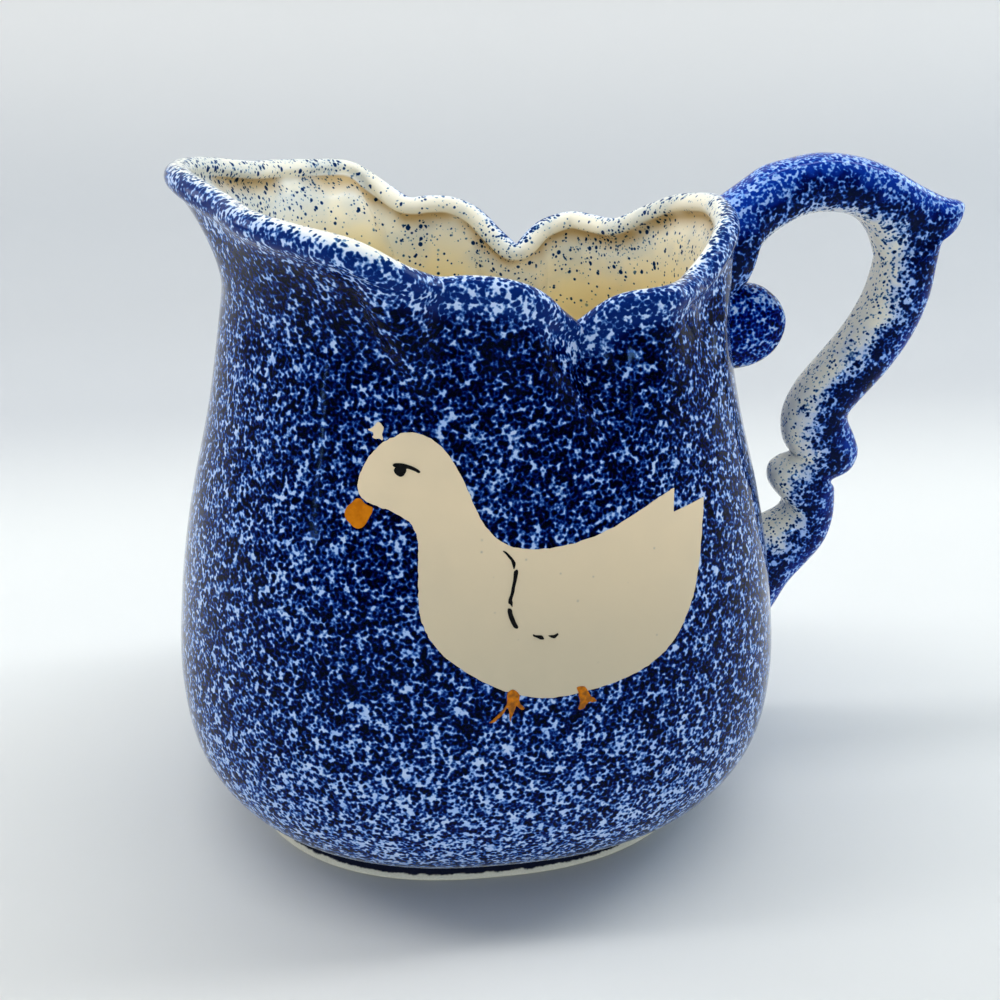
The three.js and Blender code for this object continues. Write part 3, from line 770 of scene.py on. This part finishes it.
class Finish:
    """A material of the pitcher, built node by node."""

    def __init__(self, name, shine=0.1, shine_tint=(1.0, 1.0, 1.0)):
        self.material = bpy.data.materials.new(name)
        self.material.use_nodes = True
        self.tree = self.material.node_tree
        self.shader = self.tree.nodes["Principled BSDF"]
        self.shader.inputs["Specular IOR Level"].default_value = shine
        self.shader.inputs["Specular Tint"].default_value = (*shine_tint, 1.0)
        coordinates = self.node("ShaderNodeTexCoord", {}, {}, "Object")
        self.place = self.vector("SCALE", coordinates, scale=1 / MM)

    def node(self, kind, settings, inputs, output=0):
        """Adds a node: its settings first, then the values or links of its sockets."""
        node = self.tree.nodes.new(kind)
        for key, value in settings.items():
            setattr(node, key, value)
        for key, value in inputs.items():
            self.feed(node.inputs[key], value)
        return Value(self, node.outputs[output])

    def feed(self, socket, value):
        if isinstance(value, Value):
            self.tree.links.new(value.socket, socket)
        elif socket.type == "RGBA":
            socket.default_value = (*value, 1.0)
        else:
            socket.default_value = value

    def color(self, value):
        self.feed(self.shader.inputs["Base Color"], value)
        return self.material

    def rough(self, value):
        self.feed(self.shader.inputs["Roughness"], value)

    def vector(self, operation, first, second=None, scale=None):
        inputs = {0: first}
        if second is not None:
            inputs[1] = second
        if scale is not None:
            inputs["Scale"] = scale
        return self.node("ShaderNodeVectorMath", {"operation": operation}, inputs)

    def mix(self, factor, first, second, blend="MIX"):
        settings = {"data_type": "RGBA", "blend_type": blend, "clamp_factor": True}
        return self.node("ShaderNodeMix", settings, {0: factor, 6: first, 7: second}, 2)

    def between(self, factor, first, second):
        """A number that goes from first to second, where mix is for colours."""
        return self.node("ShaderNodeMix", {}, {0: factor, 2: first, 3: second})

    def shifted(self, seed):
        """Another part of the pattern for each seed."""
        return self.vector("ADD", self.place, [seed * stride for stride in SEED_STRIDES])

    def noise(self, per_mm, detail, seed):
        """Soft clouds, about that many to the millimetre."""
        inputs = {"Vector": self.shifted(seed), "Scale": per_mm, "Detail": detail}
        return self.node("ShaderNodeTexNoise", {}, inputs)

    def cells(self, per_mm, seed):
        """Scattered round cells: the distance from the nearest middle, in cells."""
        inputs = {"Vector": self.shifted(seed), "Scale": per_mm}
        return self.node("ShaderNodeTexVoronoi", {}, inputs, "Distance")

    def noted(self, name):
        """A number that the piece keeps for each of its points."""
        return self.node("ShaderNodeAttribute", {"attribute_name": name}, {}, "Fac")

    def position(self):
        x = self.node("ShaderNodeSeparateXYZ", {}, {0: self.place}, "X")
        return x, x.out("Y"), x.out("Z")

    def dots(self, per_mm, radius, present, seed):
        """Single drops, some missing, each with its own size: 1 within a drop."""
        cells = self.cells(per_mm, seed)
        chance = self.node("ShaderNodeSeparateColor", {}, {0: cells.out("Color")}, "Red")
        edge = radius * (0.5 + chance.out("Green")) * per_mm
        drops = cells.step(edge + DROP_BLUR, edge - DROP_BLUR)
        return drops * (present - chance).step(-DROP_MISSING, DROP_MISSING)

    def sponge(self, cover):
        """How deep the cobalt lies where it was sponged on: a net of pale veins between drops.

        cover is about 1 where the net is open and 2 where it almost closes.
        """
        net = self.cells(0.9, 1.0) * 4.53 + self.cells(1.3, 2.0) * 2.81
        net = net + self.noise(1.4, 0.0, 3.0) * 2.19
        drift = self.noise(0.4, 0.0, 11.0) * 3.26 + self.noise(0.1, 1.0, 23.0) * 1.09
        return (cover + NET_LEVEL - net - drift).above(0.0) ** NET_CURVE * NET_DEPTH

    def stained(self, ground, depth, coat):
        """A ground colour seen through that many coats of cobalt."""
        return self.mix(1.0, ground, self.vector("POWER", coat, depth), "MULTIPLY")

    def bump(self, height, strength, distance):
        inputs = {"Height": height, "Strength": strength, "Distance": distance}
        self.feed(self.shader.inputs["Normal"], self.node("ShaderNodeBump", {}, inputs))

    def glassy(self):
        """The soft waves and uneven gloss of a thick glaze."""
        self.rough(self.noise(0.2, 2.0, 67.0) * 0.08 + 0.05)
        self.bump(self.noise(0.12, 2.0, 61.0), strength=0.12, distance=0.0015)


AXIS_X = AXIS.x / MM
# What one coat of the blue lets through, and where the handle and its curl are brighter
COBALT = (0.018, 0.072, 0.255)
BRIGHT_COBALT = (0.012, 0.085, 0.40)
BLUE_SHINE = (0.25, 0.5, 1.0)
# Grounds that show between the drops
PALE_BLUE, PALER_BLUE = (0.37, 0.52, 0.85), (0.55, 0.65, 0.88)
ROLL_BLUE, ROLL_WHITE = (0.58, 0.69, 0.95), (0.93, 0.91, 0.85)
# Creams of the lining; the neck's oranger cream is partly painted warm bounce light.
RIM_CREAM, NECK_BOUNCE_CREAM, BELLY_CREAM = (0.98, 0.92, 0.77), (1.0, 0.82, 0.44), (0.97, 0.85, 0.58)
MIST = (0.56, 0.62, 0.65)
POOLED_SHADE_BROWN = (0.46, 0.27, 0.05)
HANDLE_CREAM, HANDLE_BLUE = (0.97, 0.88, 0.71), (0.24, 0.44, 0.92)
# Clay, slip and enamel
DARK_CLAY, LIGHT_CLAY = (0.74, 0.67, 0.52), (0.90, 0.84, 0.70)
# Near-black: the glaze's edge with painted shade in the recess over the foot.
FOOT_EDGE_SHADE = (0.004, 0.006, 0.02)
# The slip's low and high tones are painted shade and painted light.
SHADED_LOW_SLIP, LIT_HIGH_SLIP, CLOUDY_SLIP = (0.61, 0.51, 0.36), (0.95, 0.74, 0.49), (0.61, 0.52, 0.38)
SLIP_PIT = (0.16, 0.18, 0.22)
DARK_OCHRE, LIGHT_OCHRE, THIN_OCHRE = (0.56, 0.15, 0.003), (0.74, 0.23, 0.006), (0.16, 0.06, 0.012)
BLACK, SOFT_BLACK = (0.003, 0.003, 0.003), (0.012, 0.011, 0.012)


def pale_blue(finish):
    """The white glaze between the drops, tinged by the cobalt."""
    tint = finish.noise(0.35, 1.0, 41.0).step(0.3, 0.7)
    return finish.mix(tint, PALE_BLUE, PALER_BLUE)


def body_glaze():
    finish = Finish("spatter_glaze", 0.08, BLUE_SHINE)
    lining, rim_drop = finish.noted("lining"), finish.noted("rim_drop")
    x, _, z = finish.position()
    inside = lining.step(0.56, 0.70)
    crest = lining.step(0.36, 0.60)
    on_wall = lining.step(0.02, 0.0) * rim_drop.step(2.6, 7.0)
    towards_sides = abs(x - AXIS_X).step(28.0, 70.0)
    near_rim = rim_drop.step(24.0, 2.0)
    lip_side = (AXIS_X - x).step(20.0, 60.0)
    patches = (finish.noise(0.07, 2.0, 53.0) + 0.07 * lip_side).step(0.40, 0.58) * near_rim

    # The sponged net, paler low on the belly and at the sides, partly thinner sponging and partly
    # painted floor reflection low down and painted sheen at the sides, and deepest just under the
    # rim, where the extra blue is painted shade
    thinner = (0.38 * towards_sides).above(0.78 * z.step(66.0, 20.0))
    # Painted shade: more blue just under the rim, away from the sides.
    shade_under_rim = rim_drop.step(28.0, 12.0) * (1.0 - towards_sides)
    wall_cover = 1.92 - thinner + 0.4 * shade_under_rim
    roll_cover = 1.4 - 2.1 * crest - 1.3 * inside
    roll_cover = roll_cover - 1.2 * inside * rim_drop.step(4.0, 20.0)
    roll_cover = roll_cover + 0.9 * crest * patches
    depth = finish.sponge(finish.between(on_wall, roll_cover, wall_cover))

    # Single drops, large and small, on the roll and the lining
    speckled = 0.03 + 0.06 * rim_drop.step(50.0, 15.0) + 0.4 * patches
    speckled = crest * (speckled + 0.12 * lip_side * near_rim * inside)
    depth = depth + finish.dots(0.6, 0.45, speckled, 7.0) * 1.5
    depth = depth + finish.dots(1.0, 0.27, speckled + 0.03, 9.0) * 1.2
    # Off the wall the blue is kept shallow, so the roll's drops look lighter: painted light where
    # the roll faces up.
    depth = depth.below(1.4 + 2.6 * on_wall)

    # The ground: misty cream inside, oranger below the rim as painted warm bounce light, and
    # browner in the groove under the roll, from glaze pooling there and painted shade
    roll = finish.mix(crest, ROLL_BLUE, ROLL_WHITE)
    # Oranger cream below the rim inside: the cream glaze with painted warm bounce light.
    deep = finish.mix(rim_drop.step(35.0, 80.0), NECK_BOUNCE_CREAM, BELLY_CREAM)
    cream = finish.mix(rim_drop.step(2.0, 22.0), RIM_CREAM, deep)
    misty = 0.5 * patches + 0.25 * lip_side * near_rim * rim_drop.step(0.5, 3.0)
    cream = finish.mix(misty, cream, MIST)
    # Browner in the groove under the roll: glaze pooling with painted shade.
    pooling_and_shade = rim_drop.step(0.9, 1.6) * rim_drop.step(7.0, 2.0)
    pooling_and_shade = pooling_and_shade * finish.noise(0.06, 2.0, 59.0).step(0.25, 0.55)
    cream = finish.mix(pooling_and_shade * 0.8, cream, POOLED_SHADE_BROWN)
    ground = finish.mix(inside, roll, cream)
    ground = finish.mix(on_wall, ground, pale_blue(finish))
    finish.glassy()
    return finish.color(finish.stained(ground, depth, COBALT))


def handle_glaze():
    finish = Finish("handle_glaze", 0.16, BLUE_SHINE)
    outward, along = finish.noted("outward"), finish.noted("along")
    streaks = (finish.noise(0.12, 2.0, 71.0) - 0.5) * 1.1
    streaks = streaks + (finish.noise(0.5, 1.0, 73.0) - 0.5) * 0.6
    ends = along.step(0.13, 0.05) + along.step(0.9, 0.97)
    turned = outward + streaks + 0.25 * along.step(0.36, 0.2)
    blue = (turned.step(-0.95, 0.05) + ends).clamped()
    dark_band = turned.step(-0.3, 0.0) * turned.step(0.7, 0.2)
    # Paler along the top: painted sheen.
    top = turned.step(0.45, 0.95)
    depth = finish.sponge(-1.0 + 2.5 * blue + 0.6 * dark_band - 0.5 * top)
    depth = depth + finish.dots(1.2, 0.22, 0.4, 9.0) * 1.2
    # The blue kept shallow towards the top: painted highlight.
    depth = depth.below(2.8 - 1.6 * turned.step(0.1, 0.7))
    streaked = finish.mix(0.5, pale_blue(finish), HANDLE_BLUE)
    ground = finish.mix(blue, HANDLE_CREAM, streaked)
    # Brighter cobalt on the outer side: painted highlight.
    coat = finish.mix(turned.step(0.1, 0.9), COBALT, BRIGHT_COBALT)
    finish.glassy()
    return finish.color(finish.stained(ground, depth, coat))


def curl_glaze():
    finish = Finish("curl_glaze", 0.1, BLUE_SHINE)
    depth = finish.sponge(1.35 + finish.noise(0.1, 1.0, 81.0) * 0.5)
    finish.glassy()
    return finish.color(finish.stained(pale_blue(finish), depth, BRIGHT_COBALT))


def dry_foot():
    """Bare clay, with a near-black line where the glaze ends: the glaze's edge and painted shade of
    the recess.
    """
    finish = Finish("bare_clay")
    _, _, z = finish.position()
    glaze_edge_and_shade = (z + (finish.noise(0.6, 2.0, 5.0) - 0.5) * 0.8).step(1.3, 1.6)
    grain = finish.noise(2.2, 2.0, 9.0)
    clay = finish.mix(grain, DARK_CLAY, LIGHT_CLAY)
    finish.rough(0.75)
    finish.bump(grain, strength=0.3, distance=0.0005)
    return finish.color(finish.mix(glaze_edge_and_shade, clay, FOOT_EDGE_SHADE))


def slip_glaze():
    finish = Finish("cream_slip")
    _, _, z = finish.position()
    # Lighter towards the head and darker low down: painted light and shade.
    cream = finish.mix(z.step(52.0, 112.0), SHADED_LOW_SLIP, LIT_HIGH_SLIP)
    cloud = finish.noise(0.05, 2.0, 3.0).step(0.3, 0.7)
    cream = finish.mix(cloud * 0.25, cream, CLOUDY_SLIP)
    pits = finish.dots(0.3, 0.15, 0.4, 17.0)
    finish.glassy()
    return finish.color(finish.mix(pits * 0.7, cream, SLIP_PIT))


def ochre_enamel():
    """Brushed on, and thinner on the feet."""
    finish = Finish("ochre_enamel")
    _, _, z = finish.position()
    brush = finish.noise(0.55, 2.0, 13.0).step(0.3, 0.75)
    ochre = finish.mix(brush, DARK_OCHRE, LIGHT_OCHRE)
    thin = z.step(70.0, 60.0) * finish.noise(1.0, 2.0, 29.0).step(0.25, 0.7)
    finish.rough(0.2)
    finish.bump(brush, strength=0.1, distance=0.0004)
    return finish.color(finish.mix(thin * 0.8, ochre, THIN_OCHRE))


def black_enamel():
    finish = Finish("black_enamel", 0.04)
    brush = finish.noise(1.4, 2.0, 19.0)
    finish.rough(0.25)
    finish.bump(brush, strength=0.1, distance=0.0003)
    return finish.color(finish.mix(brush, BLACK, SOFT_BLACK))


# Pieces

finish_piece(make_body(), body_glaze(), "spatter_glaze", "body_shell", "rolled_rim")
finish_piece(make_foot(), dry_foot(), "bare_clay", "foot_ring")
stations = [from_neck(*row) for row in HANDLE] + [from_wall(*row) for row in HANDLE_FOOT]
handle = make_strap("handle", stations)
finish_piece(handle, handle_glaze(), "spatter_glaze", "handle_arch", "handle_tail")
curl = make_strap("root_curl", [from_neck(*row) for row in CURL])
finish_piece(curl, curl_glaze(), "spatter_glaze", "handle_root_scroll")

# What each paint stands off the glaze, its finish and its slot
SLIP = (SLIP_LIFT, slip_glaze(), "cream_slip")
OCHRE = (ENAMEL_LIFT, ochre_enamel(), "ochre_enamel")
BLACK_LINE = (ENAMEL_LIFT, black_enamel(), "black_enamel")
STROKES = [
    ("painted_smudge", SMUDGE, SLIP, "slip_smudge"),
    ("painted_bill", BILL, OCHRE, "duck_bill"),
    ("painted_front_foot", FRONT_FOOT, OCHRE, "duck_front_foot"),
    ("painted_back_foot", BACK_FOOT, OCHRE, "duck_back_foot"),
    ("painted_eye", EYE, BLACK_LINE, "duck_eye"),
    ("painted_wing_upper", WING_UPPER, BLACK_LINE, "wing_stroke_upper"),
    ("painted_wing_middle", WING_MIDDLE, BLACK_LINE, "wing_stroke_middle"),
    ("painted_wing_lower", WING_LOWER, BLACK_LINE, "wing_stroke_lower"),
    ("painted_dash_left", DASH_LEFT, BLACK_LINE, "wing_dash_left"),
    ("painted_dash_right", DASH_RIGHT, BLACK_LINE, "wing_dash_right"),
]


def paint(name, outline, cell, coat, node):
    lift, material, slot = coat
    finish_piece(make_coat(name, outline, lift, cell), material, slot, node)


paint("painted_duck", duck_outline(), DUCK_CELL, SLIP, "duck_figure")
for name, outline, coat, node in STROKES:
    paint(name, rounded(outline), STROKE_CELL, coat, node)


# Floor, backdrop, light and camera

SHEET_SIZE = 3.0
SHEET_BACK = 0.50  # how far behind the pitcher the sheet turns up
SHEET_CURVE = 0.05
SHEET_CURVE_STEPS = 8
SHEET_RISE = 1.6
DARK_PAPER, LIGHT_PAPER = (0.765, 0.765, 0.75), (0.785, 0.785, 0.77)
# The far and high tones of the one sheet are painted shade and painted light.
SHADED_FAR_PAPER, LIT_HIGH_PAPER = (0.56, 0.565, 0.58), (0.80, 0.78, 0.765)
MIDDLE = (-0.02, 0.0, 0.06)  # what the lamps look at
WHITE, COOL = (0.97, 0.975, 0.96), (0.70, 0.87, 1.0)
# Width and height in metres, watts, place and colour
LAMPS = [
    ("overhead", (2.40, 0.12), 11.8, (-0.02, 0.11, 1.10), WHITE),
    ("left_back", (0.3, 0.6), 2.2, (-1.00, 0.40, 0.50), WHITE),
    ("right_back", (0.5, 0.6), 4.0, (1.00, 0.38, 0.45), COOL),
    ("back", (1.6, 0.3), 0.7, (0.0, 0.44, 0.55), COOL),
    ("front", (0.25, 0.25), 5.6, (-0.15, -1.42, 0.52), COOL),
    ("left_low", (0.03, 0.03), 0.12, (-1.305, -0.866, 0.19), COOL),
]
SKY = (0.28, 0.62, 1.0, 1.0)
SKY_STRENGTH = 0.18
CAMERA_PLACE = Vector((-27.4, -260.6, 184.2))
CAMERA_TILT, CAMERA_TURN = math.radians(66.8), math.radians(-7.5)
CAMERA_LENS, CAMERA_SENSOR = 39.6, 36


def studio_paper():
    finish = Finish("studio_paper")
    _, y, z = finish.position()
    floor = finish.mix(finish.noise(0.01, 2.0, 2.0), DARK_PAPER, LIGHT_PAPER)
    # Darker further back as painted shade, lighter where the sheet rises as painted light.
    paper = finish.mix(y.step(120.0, 320.0), floor, SHADED_FAR_PAPER)
    finish.rough(0.6)
    return finish.color(finish.mix(z.step(40.0, 240.0), paper, LIT_HIGH_PAPER))


def make_backdrop():
    """A pale sheet that lies under the pitcher and curves up behind it."""
    deselect()
    bpy.ops.mesh.primitive_plane_add(size=SHEET_SIZE, location=(0, 0, 0))
    sheet = start_piece("studio_sheet")
    for edge in sheet.data.edges:
        edge.select = all(sheet.data.vertices[i].co.y > 0 for i in edge.vertices)
    bpy.ops.object.mode_set(mode="EDIT")
    bpy.ops.mesh.select_mode(type="EDGE")
    bpy.ops.transform.translate(value=(0, SHEET_BACK - SHEET_SIZE / 2, 0))
    for turn in range(SHEET_CURVE_STEPS):
        angle = math.radians(90) * (turn + 0.5) / SHEET_CURVE_STEPS
        bpy.ops.mesh.extrude_region_move(TRANSFORM_OT_translate={
            "value": (0, SHEET_CURVE * math.cos(angle), SHEET_CURVE * math.sin(angle))})
    bpy.ops.mesh.extrude_region_move(TRANSFORM_OT_translate={"value": (0, 0, SHEET_RISE)})
    bpy.ops.mesh.select_mode(type="VERT")
    leave_edit()
    bpy.ops.object.shade_smooth()
    sheet.data.materials.append(studio_paper())


def add_light(name, size, power, location, color):
    """A flat lamp that looks at the pitcher's middle."""
    deselect()
    bpy.ops.object.light_add(type="AREA", location=location)
    lamp = bpy.context.object
    lamp.name = lamp.data.name = name
    lamp.data.shape = "RECTANGLE"
    lamp.data.size, lamp.data.size_y = size
    lamp.data.energy = power
    lamp.data.color = color
    lamp.visible_camera = False
    lamp.rotation_euler = (Vector(MIDDLE) - Vector(location)).to_track_quat("-Z", "Y").to_euler()


make_backdrop()
for row in LAMPS:
    add_light(*row)

world = bpy.data.worlds.new("studio")
bpy.context.scene.world = world
world.use_nodes = True
background = world.node_tree.nodes["Background"]
background.inputs["Color"].default_value = SKY
background.inputs["Strength"].default_value = SKY_STRENGTH

deselect()
bpy.ops.object.camera_add(
    location=placed(CAMERA_PLACE),
    rotation=(CAMERA_TILT, 0, CAMERA_TURN),
)
camera = bpy.context.object
camera.data.lens = CAMERA_LENS
camera.data.sensor_width = CAMERA_SENSOR
camera.data.clip_start = 0.01
bpy.context.scene.camera = camera
bpy.context.scene.view_settings.view_transform = "Standard"
